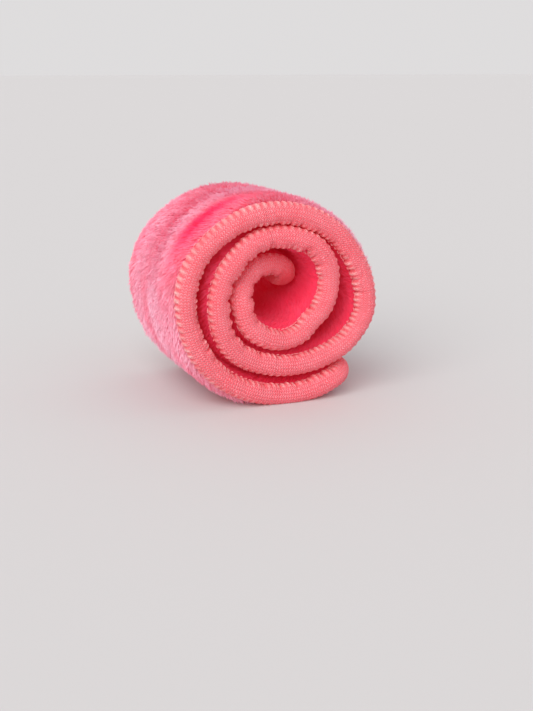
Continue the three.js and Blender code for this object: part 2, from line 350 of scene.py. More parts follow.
# %% Camera, floor and light
VIEW_AZIMUTH = -22.3
LINE_OF_SIGHT = 12.0  # degrees down, from the camera to the middle of the open face
VIEW_PITCH = 14.5
VIEW_TURN = 0.8  # degrees by which the camera looks past the roll
VIEW_DISTANCE = 0.556
LENS = 56.7
FLOOR_SIZE = 40
FLOOR_COLOR = (0.60, 0.59, 0.593)
FLOOR_ROUGHNESS = 0.8
SKY_COLOR, SKY_STRENGTH = (1.0, 0.98, 0.985), 0.735
SUN_COLOR, SUN_STRENGTH = (1.0, 0.985, 0.97), 2.35
SUN_AZIMUTH, SUN_HEIGHT, SUN_SPREAD = -42, 36, 50
LIGHT_BOUNCES = 10  # light passes deep between the turns
FACE_MIDDLE = Vector((0.0, -HALF_WIDTH, (cad_box[0].z + cad_box[1].z) / 2))


def direction_to(azimuth, height):
    """The direction of a place so many degrees round from the front and so many up."""
    turn, up = math.radians(azimuth), math.radians(height)
    return Vector((math.sin(turn) * math.cos(up), -math.cos(turn) * math.cos(up), math.sin(up)))


def make_camera():
    camera = bpy.data.objects.new("camera", bpy.data.cameras.new("camera"))
    bpy.context.scene.collection.objects.link(camera)
    camera.data.lens = LENS
    camera.location = FACE_MIDDLE + direction_to(VIEW_AZIMUTH, LINE_OF_SIGHT) * VIEW_DISTANCE
    camera.rotation_euler = (math.radians(90 - VIEW_PITCH), 0, math.radians(VIEW_AZIMUTH + VIEW_TURN))
    bpy.context.scene.camera = camera


def make_sun():
    sun = bpy.data.objects.new("window_light", bpy.data.lights.new("window_light", "SUN"))
    bpy.context.scene.collection.objects.link(sun)
    sun.data.energy, sun.data.angle = SUN_STRENGTH, math.radians(SUN_SPREAD)
    sun.data.color = SUN_COLOR
    sun.rotation_euler = direction_to(SUN_AZIMUTH, SUN_HEIGHT).to_track_quat("Z", "Y").to_euler()


def make_stage():
    bpy.ops.mesh.primitive_plane_add(size=FLOOR_SIZE)
    floor = bpy.context.object
    floor.name = "floor"
    material = bpy.data.materials.new("pale_floor")
    material.use_nodes = True
    shader = material.node_tree.nodes["Principled BSDF"]
    shader.inputs["Base Color"].default_value = (*FLOOR_COLOR, 1)
    shader.inputs["Roughness"].default_value = FLOOR_ROUGHNESS
    floor.data.materials.append(material)
    world = bpy.data.worlds.new("white_room")
    bpy.context.scene.world = world
    world.use_nodes = True
    sky = world.node_tree.nodes["Background"]
    sky.inputs["Color"].default_value = (*SKY_COLOR, 1)
    sky.inputs["Strength"].default_value = SKY_STRENGTH
    bpy.context.scene.view_settings.view_transform = "Standard"
    bpy.context.scene.cycles.diffuse_bounces = LIGHT_BOUNCES


make_camera()
make_stage()
make_sun()
print("camera at", [round(x, 3) for x in bpy.context.scene.camera.location])

# %% [markdown]
# ## Finishes
# Three dyed yarns make the headband: the plush's pile, the tape's knit and the sewing thread. The plush
# and the tape also carry a painted glow: a faint red emission that stands in for light passing from
# fibre to fibre and losing everything but red on the way. The base colours are deep and the fine surface
# carries the pale, brushed look.
# The patches where the nap lies another way are a value of the surface itself, the nap value, so
# that the ground and the pile over it change together. That value also paints shade: where it is high
# the base colour turns deeper, standing in for the darker look of pile that leans towards the eye and
# of pile hidden between the turns.

# %% Shared shader groups
def make_mottle_group():
    """Slow changes of shade over dyed fabric: Shade goes from 0 to 1."""
    tree, given, result = new_tree(
        "mottle", "ShaderNodeTree",
        [("Size", "NodeSocketFloat", 60.0), ("Streaks", "NodeSocketFloat", 500.0)],
        [("Shade", "NodeSocketFloat")])
    place = add_node(tree, "ShaderNodeTexCoord").outputs["Object"]
    soft = noise_node(tree, place, given.outputs["Size"], 2.0)["Fac"]
    fine = noise_node(tree, place, given.outputs["Streaks"], 1.0)["Fac"]
    both = math_node(tree, "MULTIPLY_ADD", fine, 0.5, math_node(tree, "MULTIPLY", soft, 0.5))
    ranged = add_node(tree, "ShaderNodeMapRange", {"Value": both, "From Min": 0.35, "From Max": 0.65})
    tree.links.new(ranged.outputs["Result"], result.inputs["Shade"])
    return tree


def make_knit_group():
    """Fine knitting on a surface whose UV map is in millimetres: rows of small V-shaped stitches."""
    tree, given, result = new_tree(
        "knit", "ShaderNodeTree",
        [("Wale", "NodeSocketFloat", 1.9), ("Course", "NodeSocketFloat", 1.35)],
        [("Height", "NodeSocketFloat"), ("Stitch", "NodeSocketFloat")])
    place = add_node(tree, "ShaderNodeUVMap", uv_map="flat_mm").outputs["UV"]
    wobble = noise_node(tree, place, 0.3, 3.0)["Fac"]
    split = add_node(tree, "ShaderNodeSeparateXYZ", {"Vector": place})
    shift = math_node(tree, "MULTIPLY", wobble, 1.6)
    along = math_node(tree, "ADD", split.outputs["X"], shift)
    across = math_node(tree, "ADD", split.outputs["Y"], shift)
    wale = math_node(tree, "PINGPONG", math_node(tree, "DIVIDE", across, given.outputs["Wale"]), 0.5)
    course = math_node(tree, "DIVIDE", along, given.outputs["Course"])
    slanted = math_node(tree, "MULTIPLY_ADD", wale, 1.6, course)
    wave = math_node(tree, "SINE", math_node(tree, "MULTIPLY", slanted, 2 * math.pi))
    lifted = math_node(tree, "MULTIPLY_ADD", wave, 0.5, 0.5)
    groove = add_node(tree, "ShaderNodeMapRange", {"Value": wale, "From Min": 0.0, "From Max": 0.12})
    height = math_node(tree, "MULTIPLY", lifted, groove.outputs["Result"])
    tree.links.new(height, result.inputs["Height"])
    tree.links.new(lifted, result.inputs["Stitch"])
    return tree


MOTTLE = make_mottle_group()
KNIT = make_knit_group()


# %% [markdown]
# A material is a short recipe: two colours and what moves between them, and a bump where the yarn is
# finer than the mesh. Sheen stands for the loose fibre ends that catch light at grazing angles.

# %% The materials
# The first pile colour is painted shade: the deeper colour that a high nap value turns the plush to.
PILE_PAINTED_SHADE, PILE_MIDDLE, PILE_PALE = (0.93, 0.03, 0.14), (0.88, 0.25, 0.40), (0.90, 0.60, 0.72)
# The pale tape colour is painted highlight on the raised knit stitches; the lit one is painted highlight on
# the rib crests.
TAPE_DEEP, TAPE_PALE_HIGHLIGHT, TAPE_LIT = (0.97, 0.10, 0.135), (1.0, 0.35, 0.405), (1.0, 0.68, 0.66)
PAINTED_RED_GLOW = (1.0, 0.02, 0.06, 1)  # painted glow: a red emission standing in for light that has passed through many dyed fibres
# how strong the painted glow is on the plush and on the tape
PLUSH_PAINTED_GLOW, TAPE_PAINTED_GLOW = 0.03, 0.14


def start_material(name, roughness, sheen, sheen_color, painted_glow=0.0):
    material = bpy.data.materials.new(name)
    material.use_nodes = True
    tree = material.node_tree
    shader = tree.nodes["Principled BSDF"]
    shader.inputs["Roughness"].default_value = roughness
    shader.inputs["Specular IOR Level"].default_value = 0.25
    shader.inputs["Sheen Weight"].default_value = sheen
    shader.inputs["Sheen Roughness"].default_value = 0.45
    shader.inputs["Sheen Tint"].default_value = (*sheen_color, 1)
    # painted glow: the fabric is given a faint red emission
    shader.inputs["Emission Color"].default_value = PAINTED_RED_GLOW
    shader.inputs["Emission Strength"].default_value = painted_glow
    return material, tree, shader


def mix_colors(tree, factor, first, second):
    node = add_node(tree, "ShaderNodeMix", {"Factor": factor}, data_type="RGBA")
    for socket, color in ((node.inputs[6], first), (node.inputs[7], second)):
        if isinstance(color, bpy.types.NodeSocket):
            tree.links.new(color, socket)
        else:
            socket.default_value = (*color, 1)
    return node.outputs[2]


def attribute(tree, name):
    return add_node(tree, "ShaderNodeAttribute", attribute_name=name).outputs["Fac"]


def mottle_shade(tree, size, streaks):
    return add_node(tree, "ShaderNodeGroup", {"Size": size, "Streaks": streaks}, node_tree=MOTTLE).outputs[0]


def make_plush_material(name, root_depth):
    """Plush: deep at the root of the pile and paler at its tips; the nap value paints shade, shifting the
    whole range deeper.
    """
    material, tree, shader = start_material(name, 0.85, 0.12, (1.0, 0.6, 0.7), PLUSH_PAINTED_GLOW)
    # the nap value paints shade: below, it darkens the pale mix and turns the colour deeper
    nap_shade = attribute(tree, "nap_shade")
    tip = math_node(tree, "MULTIPLY", attribute(tree, "tip"), 1 - root_depth)
    raised = math_node(tree, "MULTIPLY_ADD", mottle_shade(tree, 55.0, 900.0), 0.45, tip)
    lightness = math_node(tree, "SUBTRACT", raised, math_node(tree, "MULTIPLY", nap_shade, 0.55))
    share = math_node(tree, "MINIMUM", math_node(tree, "MAXIMUM", lightness, 0.0), 1.0)
    pale = mix_colors(tree, share, PILE_MIDDLE, PILE_PALE)
    # painted shade: a high nap value turns the colour deeper
    painted_shade_color = mix_colors(tree, nap_shade, pale, PILE_PAINTED_SHADE)
    tree.links.new(painted_shade_color, shader.inputs["Base Color"])
    return material


def make_tape_material():
    """Knitted tape: salmon, with painted highlight on the raised stitches and the rib crests and painted
    shade in the gaps between the stitches.
    """
    material, tree, shader = start_material("knitted_tape", 0.75, 0.1, (1.0, 0.75, 0.75), TAPE_PAINTED_GLOW)
    knit = add_node(tree, "ShaderNodeGroup", node_tree=KNIT)
    mottle = math_node(tree, "MULTIPLY", mottle_shade(tree, 90.0, 700.0), 0.25)
    # painted highlight and shade: the higher knit is paler and its gaps deeper; the mottle adds random tone
    light = math_node(tree, "MULTIPLY_ADD", knit.outputs["Height"], 0.85, mottle)
    base = mix_colors(tree, light, TAPE_DEEP, TAPE_PALE_HIGHLIGHT)
    # painted highlight on the rib crests
    rib_highlight = mix_colors(tree, attribute(tree, "crest"), TAPE_DEEP, TAPE_LIT)
    both = mix_colors(tree, attribute(tree, "stitched"), base, rib_highlight)
    tree.links.new(both, shader.inputs["Base Color"])
    bump = add_node(tree, "ShaderNodeBump",
                    {"Height": knit.outputs["Height"], "Strength": 1.0, "Distance": 0.0006})
    tree.links.new(bump.outputs["Normal"], shader.inputs["Normal"])
    return material


def make_thread_material(name, color, pale):
    material, tree, shader = start_material(name, 0.5, 0.15, (1.0, 0.85, 0.85))
    mixed = mix_colors(tree, mottle_shade(tree, 300.0, 2200.0), color, pale)
    tree.links.new(mixed, shader.inputs["Base Color"])
    return material


GROUND_FINISH = make_plush_material("plush_ground", 1.0)
PILE_FINISH = make_plush_material("plush_pile", 0.25)
TAPE_FINISH = make_tape_material()
OVERLOCK_FINISH = make_thread_material("overlock_thread", (0.95, 0.24, 0.27), (0.98, 0.46, 0.47))
SEAM_FINISH = make_thread_material("seam_thread", (0.90, 0.22, 0.28), (0.95, 0.45, 0.50))
print("materials:", [m.name for m in bpy.data.materials])

# %% [markdown]
# ## The binding tape
# The tape is one long piece of knitting, folded over the raw edge and sewn through both sides. Its
# route on the flat strip is therefore the strip's own outline: two straights, two ends and four round
# corners, one closed loop. A cross-section is swept along that loop: from its border on one face, round
# the nose, to its border on the other face, and back inside. The overlock stitches pull it into ribs
# that run over its shoulders, and where the roll bends it, the side towards the core puckers.

# %% The outline that the tape follows
STRAIGHT = LENGTH - 2 * CORNER_RADIUS
CORNER = math.pi / 2 * CORNER_RADIUS
SHORT = STRIP_WIDTH - 2 * CORNER_RADIUS
LOOP = 2 * (STRAIGHT + SHORT) + 4 * CORNER


def outline_place(distance):
    """Place on the strip's outline and the direction into the strip there, both as (along, across)."""
    left = np.asarray(distance) % LOOP
    runs = [STRAIGHT, CORNER, SHORT, CORNER, STRAIGHT, CORNER, SHORT, CORNER]
    middle = np.array([LENGTH / 2, 0.0])
    reach = np.array([LENGTH / 2, HALF_WIDTH]) - CORNER_RADIUS
    place, inward = np.zeros((len(left), 2)), np.zeros((len(left), 2))
    start, facing = 0.0, -math.pi / 2
    signs = [(-1, -1), (1, -1), (1, -1), (1, 1), (1, 1), (-1, 1), (-1, 1), (-1, -1)]
    for index, (run, sign) in enumerate(zip(runs, signs)):
        here = (left >= start) & (left < start + run + 1e-12)
        done = left[here] - start
        turn = facing + (done / CORNER_RADIUS if index % 2 else 0 * done)
        outward = np.stack([np.cos(turn), np.sin(turn)], axis=1)
        ahead = np.stack([-outward[:, 1], outward[:, 0]], axis=1) * (0 if index % 2 else 1)
        place[here] = middle + reach * sign + outward * CORNER_RADIUS + ahead * done[:, None]
        inward[here] = -outward
        start += run
        facing += math.pi / 2 if index % 2 else 0
    return place, inward


BACK_START = STRAIGHT + 2 * CORNER + SHORT  # where the outline starts back along the far edge


def outline_runs(index):
    """The runs of the outline that lie on a piece, each with a name for its side."""
    low, high = CUTS[index] - CORNER_RADIUS, CUTS[index + 1] - CORNER_RADIUS
    back_low, back_high = BACK_START + STRAIGHT - high, BACK_START + STRAIGHT - low
    if index == 0:
        return [("core_end", back_low, LOOP + high)]
    if index == PIECES[-1]:
        return [("outer_end", low, back_high)]
    return [("front", low, high), ("back", back_low, back_high)]


# %% [markdown]
# ## The tape's surface
# The height that the stitches and puckers add is worked out for every point of the surface, along the
# line that stands square on it. Ribs are strongest over the flat flanges and the shoulders and fade
# towards the nose. Puckers belong to the side towards the core, where a bend leaves tape to spare.

# %% Ribs and puckers of the tape
RIB_PITCH = LOOP / round(LOOP / (3.25 * MM))
RIB_HEIGHT = 0.62 * MM
PUCKER_LENGTH = 9.5 * MM
PUCKER_HEIGHT = 1.5 * MM
RIB_SHARPNESS, PUCKER_ROUNDNESS = 1.2, 0.7
BORDER_DIP = 0.9 * MM  # how far the seam pulls the tape's border in
TAPE_STEP = 0.42 * MM
FOLD_TURNED = 404  # degrees along the roll's curve
FOLD_DEPTH, FOLD_HALF = 3.2 * MM, 2.4 * MM
NOSE_POINTS = 25
FLANGE_POINTS = 8
INNER_SKIP = 6  # the hidden inside of the tape keeps one point in so many
INNER_HEIGHT = 0.72  # of the outer line's height


def tape_profile():
    """The outer line of a cross-section from the face away from the core round to the other face: its
    depth in from the edge, its height over the middle, and the outward direction there."""
    turn = np.linspace(math.pi / 2, -math.pi / 2, NOSE_POINTS)
    depth = TAPE_HALF * (1 - np.cos(turn))
    flange = np.linspace(TAPE_REACH, TAPE_HALF, FLANGE_POINTS, endpoint=False)
    dip = BORDER_DIP * smooth_step(flange, TAPE_HALF, TAPE_REACH) ** 2
    depths = np.concatenate([flange, depth, flange[::-1]])
    heights = np.concatenate([TAPE_HALF - dip, TAPE_HALF * np.sin(turn), dip[::-1] - TAPE_HALF])
    level = np.zeros(FLANGE_POINTS)
    normals = np.stack([np.concatenate([level, -np.cos(turn), level]),
                        np.concatenate([level + 1, np.sin(turn), level - 1])], axis=1)
    return depths, heights, normals


DEPTHS, HEIGHTS, NORMALS = tape_profile()
around = np.concatenate([[0], np.cumsum(np.hypot(np.diff(DEPTHS), np.diff(HEIGHTS)))])
AROUND = around - around[-1] / 2  # 0 at the nose, below 0 on the side away from the core
FROM_NOSE = np.abs(AROUND) / (around[-1] / 2)
TOWARD_CORE = smooth_step(AROUND, 0.5 * MM, TAPE_HALF * 1.4)


def rib_phase(distance):
    return distance / RIB_PITCH + wander(distance, 3, 14 * MM, 0.16)


def rib_height(distance):
    """Ribs across the flanges, uneven as hand-fed sewing leaves them, from 0 to 1, and where they are."""
    phase = rib_phase(distance)
    lean = 0.35 * (FROM_NOSE - 0.5)
    wave = 0.5 + 0.5 * np.cos(2 * math.pi * (phase[:, None] + lean))
    strength = 0.75 + wander(distance, 5, 9 * MM, 0.35)
    reach = 0.34 + wander(distance, 8, 21 * MM, 0.12)
    where = smooth_step(FROM_NOSE[None, :], reach[:, None], reach[:, None] + 0.25)
    return wave ** RIB_SHARPNESS * strength[:, None], where


def pucker_height(along):
    """Soft bulges with sharp creases between them, about as long as the tape is wide."""
    phase = along / PUCKER_LENGTH + wander(along, 11, 17 * MM, 0.45)
    bulge = np.abs(np.sin(math.pi * phase)) ** PUCKER_ROUNDNESS
    strength = 0.75 + wander(along, 13, 23 * MM, 0.4)
    return (bulge * strength)[:, None] * TOWARD_CORE[None, :]


def fold_depth(along, across):
    """One deep fold in the front tape, where the second turn's bend is tightest."""
    at = ROUTE_AT[FOLD_TURNED * len(ROUTE) // LAYER_ROOM[-1][0]]
    shape = np.exp(-np.abs((along - at) / FOLD_HALF) ** 1.5) * (across < 0)
    return FOLD_DEPTH * shape[:, None] * TOWARD_CORE[None, :]


def tape_sway(distance):
    """The tape is not sewn on quite straight."""
    return wander(distance % LOOP, 19, 26 * MM, 0.7 * MM)


def tape_rings(low, high):
    steps = max(8, int(round((high - low) / TAPE_STEP)))
    distance = np.linspace(low, high, steps + 1)
    place, inward = outline_place(distance)
    along = place[:, 0]
    crest, stitched = rib_height(distance % LOOP)
    knock = wander(distance % LOOP, 17, 12 * MM, 0.35 * MM)[:, None]
    sway = tape_sway(distance)[:, None]
    puckers = (pucker_height(along) - 0.5 * TOWARD_CORE) * PUCKER_HEIGHT
    height = crest * stitched * RIB_HEIGHT + puckers + knock - fold_depth(along, place[:, 1])
    depth = DEPTHS + NORMALS[:, 0] * height + sway
    out = HEIGHTS + NORMALS[:, 1] * height
    inner = slice(None, None, INNER_SKIP)
    inner_depth = np.maximum(DEPTHS[inner], TAPE_THICKNESS)[::-1] + sway
    inner_out = HEIGHTS[inner][::-1] * INNER_HEIGHT + np.zeros((steps + 1, 1))
    depth, out = np.hstack([depth, inner_depth]), np.hstack([out, inner_out])
    flat_along = along[:, None] + inward[:, :1] * depth
    flat_across = place[:, 1:] + inward[:, 1:] * depth
    rings = in_roll(flat_along, flat_across, out)
    looks = [np.hstack([values, np.zeros_like(inner_out)]) for values in (crest, stitched * 0.7)]
    around_mm = np.concatenate([AROUND, np.zeros(inner_out.shape[1])]) / MM
    uv = np.stack(np.broadcast_arrays(distance[:, None] / MM, around_mm), axis=-1)
    return rings, looks, uv


def add_uv(mesh, values):
    """A UV map named flat_mm from a value at each point."""
    layer = mesh.uv_layers.new(name="flat_mm")
    corner = np.zeros(len(mesh.loops), np.int32)
    mesh.loops.foreach_get("vertex_index", corner)
    layer.data.foreach_set("uv", values.reshape(-1, 2)[corner].astype(np.float32).ravel())


TAPE_NODES = {"front": "front_binding", "back": "back_binding"}


def cad_tape_nodes(name, index):
    """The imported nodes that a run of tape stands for."""
    if name == "core_end":
        return ["core_end_binding"]
    if name == "outer_end":
        return [numbered(kind, index) for kind in TAPE_NODES.values()] + ["outer_end_binding"]
    return [numbered(TAPE_NODES[name], index)]


def make_tape():
    triangles = 0
    for index in PIECES:
        for name, low, high in outline_runs(index):
            rings, (crest, stitched), uv = tape_rings(low, high)
            mesh = ring_mesh(numbered(f"{name}_tape", index), rings,
                             [("crest", "FLOAT", crest), ("stitched", "FLOAT", stitched)])
            add_uv(mesh, uv)
            tape = new_object(mesh.name, mesh, TAPE_FINISH)
            ride_along(tape, index)
            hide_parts(*cad_tape_nodes(name, index))
            triangles += 2 * len(mesh.polygons)
    print(f"tape: {LOOP / MM:.0f} mm, ribs every {RIB_PITCH / MM:.2f} mm, about {triangles} triangles")


make_tape()

# %% [markdown]
# ## The plush without its pile
# The pile needs a backing to stand on. It is a soft slab: thin where the tape holds it, and swelling to
# its full thickness away from the seam. It is swept like the tape, with cross-sections that narrow
# round the strip's corners.

# %% The plush ground
GROUND_STEP = 1.6 * MM
SWELL = 5.5 * MM
OUTER_TURN = 330 * MM
FREE_BLEND = 60 * MM
SEAM_GROOVE = 1.5 * MM
PATCH_SINK = 0.9 * MM  # how far a sewn patch presses the plush down
PATCH_BLEND = 1.5 * MM
PATCH_START = TAPE_REACH + 2 * MM  # from the strip's end
HOOK_SIZE, LOOP_SIZE = (24 * MM, 50 * MM), (58 * MM, 50 * MM)
GROUND_IN_TAPE = 3.2 * MM
GROUND_TUCKED = 2.9 * MM
FLAT_ROWS = 40


def half_width_at(along, inset):
    from_end = np.minimum(along, LENGTH - along) - inset
    radius = CORNER_RADIUS - inset
    inside = radius - np.clip(from_end, 0, radius)
    return HALF_WIDTH - CORNER_RADIUS + np.sqrt(np.maximum(radius ** 2 - inside ** 2, 0))


def from_outline(along, across):
    """How far in from the strip's outline a place on the flat strip lies, past the round corners too."""
    end = np.minimum(along, LENGTH - along)
    side = HALF_WIDTH - np.abs(across)
    corner = np.maximum(CORNER_RADIUS - end, 0), np.maximum(CORNER_RADIUS - side, 0)
    rounded = (corner[0] > 0) & (corner[1] > 0)
    return np.where(rounded, CORNER_RADIUS - np.hypot(*corner), np.minimum(end, side))


def free_share(along, side):
    """1 on the outermost face, which nothing presses, and 0 on the faces between the turns."""
    return smooth_step(along, LENGTH - OUTER_TURN, LENGTH - OUTER_TURN + FREE_BLEND) * (side > 0)


def slab_half(along, across, side):
    """Half the slab's thickness, with the seam's groove just inside the tape."""
    inside = from_outline(along, across)
    swell = smooth_step(inside, TAPE_REACH - SEAM_GROOVE, TAPE_REACH + SWELL)
    full = GROUND_HALF + FREE_SWELL * free_share(along, side) - PATCH_SINK * patch_share(along, across, side)
    return GROUND_TUCKED + (full - GROUND_TUCKED) * swell


def patch_share(along, across, side):
    """1 under the hook strip and the loop strip, 0 elsewhere."""
    from_start = np.where(side > 0, along, LENGTH - along) - PATCH_START
    length = np.where(side > 0, LOOP_SIZE[0], HOOK_SIZE[0])
    past = np.maximum(np.abs(from_start - length / 2) - length / 2, np.abs(across) - HOOK_SIZE[1] / 2)
    return 1 - smooth_step(past, 0, PATCH_BLEND)


def slab_rings(low, high):
    low, high = max(low, GROUND_IN_TAPE), min(high, LENGTH - GROUND_IN_TAPE)
    along = np.linspace(low, high, max(6, int((high - low) / GROUND_STEP)))
    half = half_width_at(along, GROUND_IN_TAPE)
    share = np.linspace(-1, 1, FLAT_ROWS)
    across = half[:, None] * share
    upper, lower = [slab_half(along[:, None], across, side) for side in (1, -1)]
    across, out = np.hstack([across, across[:, ::-1]]), np.hstack([upper, -lower[:, ::-1]])
    return np.broadcast_to(along[:, None], across.shape), across, out


# %% [markdown]
# ## Which way the nap lies
# Plush has a nap: its pile leans one way, and a hand that strokes it leaves patches leaning another.
# Leaning towards the eye it looks deep and leaning away it looks pale; here that look is painted shade,
# a deeper base colour wherever the nap value is high. Between the turns the nap value is raised too,
# which turns the pile's lean there and paints shade where the turns hide one another. The lean is a
# direction on the flat strip at every point, and the nap value says how much the patch there is
# turned. The pattern is drawn with a few broad strokes on the outer turn and slow random ones
# elsewhere.

# %% The nap
def stroke(along, across, centre, size, turn, weight):
    """A soft oval of stroked pile, from 0 to its weight."""
    x, y = along - LENGTH + centre[0] * MM, across - centre[1] * MM
    c, s = math.cos(math.radians(turn)), math.sin(math.radians(turn))
    return weight * np.exp(-((x * c + y * s) / (size[0] * MM)) ** 2 - ((y * c - x * s) / (size[1] * MM)) ** 2)


# Each stroke turns the pile's lean and, through the nap value, paints shade: a deeper colour.
STROKES = [  # (from the outer end, across), (long, wide), turned by, weight
    ((164, -28), (30, 11), -6, 1.0),
    ((218, -22), (24, 6), 6, 0.25),
    ((196, 16), (30, 6), 10, 0.25),
    ((105, 8), (34, 5), 8, 0.25),
    ((62, -24), (34, 10), 0, 0.55),
    ((150, 30), (40, 6), 4, 0.3),
]
BETWEEN_TURNS_NAP_AND_SHADE = 0.78  # of the pile between the turns: it turns the lean there and paints shade, a deeper colour


# The nap value turns the pile's lean and, in the plush materials, paints shade by deepening the colour.
def nap_shade_at(along, across, side):
    strokes = sum(stroke(along, across, *one) for one in STROKES) * (side > 0)
    drift = wander(along, 23, 60 * MM, 2.0)
    slow = wander(along + side * 900 * MM, 21, 31 * MM, 0.5) * np.cos(across / (13 * MM) + drift)
    return np.clip(strokes + np.maximum(slow, 0) * 0.35 + (1 - free_share(along, side)) * BETWEEN_TURNS_NAP_AND_SHADE, 0, 1)


def lean_at(along, across, side):
    """The direction in which the pile leans, on the flat strip: mostly across it, turned by the nap."""
    turn = 0.9 + wander(along, 29, 40 * MM, 0.5) + wander(across + along * 0.4, 31, 15 * MM, 0.45)
    turn = turn + nap_shade_at(along, across, side) * 1.6
    return np.stack([np.sin(turn), -np.cos(turn), np.zeros(turn.shape)], axis=-1)


# %% [markdown]
# ## The pile, by Geometry Nodes
# Hair curves would make the finest pile, but the finished part has to be plain mesh. So the pile is tufts
# scattered on the slab with Distribute Points on Faces: each is a slim three-sided spike of four
# triangles, turned to the nap's direction and ruffled by noise. The spike's own height is stored on it
# before it is scattered, so that its tip can be paler than its root.

# %% The pile's node tree
def make_pile_tree():
    tree, given, result = new_tree(
        "pile", "GeometryNodeTree",
        [("Geometry", "NodeSocketGeometry"), ("Tufts", "NodeSocketFloat", 4.0e6),
         ("Length", "NodeSocketFloat", 0.0036), ("Width", "NodeSocketFloat", 0.00042),
         ("Ruffle", "NodeSocketFloat", 0.55), ("Seed", "NodeSocketInt", 1),
         ("Finish", "NodeSocketMaterial")],
        [("Geometry", "NodeSocketGeometry")])
    size = given.outputs
    density = math_node(tree, "MULTIPLY", stored_value(tree, "pile"), size["Tufts"])
    points = add_node(tree, "GeometryNodeDistributePointsOnFaces",
                      {"Mesh": size["Geometry"], "Density": density, "Seed": size["Seed"]})
    spike = {"Vertices": 3, "Radius Top": 0.0, "Radius Bottom": size["Width"], "Depth": size["Length"]}
    tuft = add_node(tree, "GeometryNodeMeshCone", spike, fill_type="NGON")
    place = add_node(tree, "GeometryNodeInputPosition").outputs[0]
    height = add_node(tree, "ShaderNodeSeparateXYZ", {"Vector": place}).outputs["Z"]
    share = math_node(tree, "DIVIDE", height, size["Length"])
    marked = add_node(tree, "GeometryNodeStoreNamedAttribute",
                      {"Geometry": tuft.outputs["Mesh"], "Name": "tip", "Value": share},
                      data_type="FLOAT", domain="POINT")
    lean = stored_value(tree, "lean", "FLOAT_VECTOR")
    clump = vector_node(tree, "SUBTRACT", noise_node(tree, place, 260.0, 2.0)["Color"], (0.5, 0.5, 0.5))[0]
    stray = add_node(tree, "FunctionNodeRandomValue",
                     {"Min": (-0.5,) * 3, "Max": (0.5,) * 3, "Seed": size["Seed"]},
                     data_type="FLOAT_VECTOR").outputs[0]
    loose = vector_node(tree, "MULTIPLY_ADD", clump, (2.4,) * 3, stray)[0]
    ruffled = add_node(tree, "ShaderNodeVectorMath", {0: loose, "Scale": size["Ruffle"]}, operation="SCALE")
    aim = vector_node(tree, "ADD", lean, ruffled.outputs[0])[0]
    long = add_node(tree, "FunctionNodeRandomValue", {2: 0.7, 3: 1.2, "Seed": size["Seed"]},
                    data_type="FLOAT").outputs[1]
    put_on_points(tree, result, points.outputs["Points"], marked.outputs["Geometry"], aim, long,
                  size["Finish"])
    return tree


def grown(source, tree, name, **values):
    """Runs a Geometry Nodes tree on an object and returns its result as a plain mesh object."""
    modifier = source.modifiers.new(tree.name, "NODES")
    modifier.node_group = tree
    identifiers = {item.name: item.identifier for item in tree.interface.items_tree if item.in_out == "INPUT"}
    for label, value in values.items():
        modifier[identifiers[label]] = value
    shown = source.evaluated_get(bpy.context.evaluated_depsgraph_get())
    mesh = bpy.data.meshes.new_from_object(shown)
    mesh.name = name
    source.modifiers.remove(modifier)
    return new_object(name, mesh)


# %% [markdown]
# The tufts thin out near the tape, whose border they half cover, and between the turns. They are left
# out on the slab's hidden rim, under the sewn patches and where the roll rests on the ground.

# %% Plush pieces
TUFTS_PER_M2 = 3.9e6
TUFT_LENGTH = 4.3 * MM
TUFT_WIDTH = 0.38 * MM
PRESSED_LOSS = 0.2  # share of the tufts that lie flat and hidden between the turns
UNDERSIDE_BARE = 1.1 * MM  # height up to which the resting side has no pile
STAND = 0.55  # how much a tuft stands up against how much it leans
PILE_TREE = make_pile_tree()


def make_plush():
    tufts = 0
    for index in PIECES:
        along, across, out = slab_rings(CUTS[index], CUTS[index + 1])
        side = np.sign(out)
        lean = lean_at(along, across, side)
        lean[..., 2] = side * STAND
        inside = from_outline(along, across)
        pile = smooth_step(inside, TAPE_REACH - 0.6 * MM, TAPE_REACH + 0.8 * MM)
        pile = pile * (1 - patch_share(along, across, side))
        pile = pile * (1 - PRESSED_LOSS * (1 - free_share(along, side)))
        # the nap value paints shade in the plush materials
        nap_shade = nap_shade_at(along, across, side)
        places = in_roll(along, across, out)
        pile = pile * np.where(side > 0, smooth_step(places[..., 2], UNDERSIDE_BARE, 4 * UNDERSIDE_BARE), 1)
        values = [("pile", "FLOAT", pile), ("nap_shade", "FLOAT", nap_shade),
                  ("lean", "FLOAT_VECTOR", direction_in_roll(along, lean))]
        mesh = ring_mesh(numbered("plush_ground", index), places, values)
        slab = new_object(mesh.name, mesh, GROUND_FINISH)
        pile_piece = grown(slab, PILE_TREE, numbered("plush_pile", index), Tufts=TUFTS_PER_M2,
                           Length=TUFT_LENGTH, Width=TUFT_WIDTH, Seed=index + 1, Finish=PILE_FINISH)
        tufts += len(pile_piece.data.polygons) // 4
        for piece in (slab, pile_piece):
            ride_along(piece, index)
        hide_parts(numbered("plush", index))
    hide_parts(numbered("plush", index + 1))
    print(f"plush: {tufts} tufts")


make_plush()

# %% [markdown]
# ## Hook strip and loop strip
# Both are woven patches, sewn on near the strip's ends: the loops face away from the core, the hooks
# towards it. A patch is a thin slab with round borders. Its hooks or loops are the pile tree again,
# with short, upright, thicker tufts.

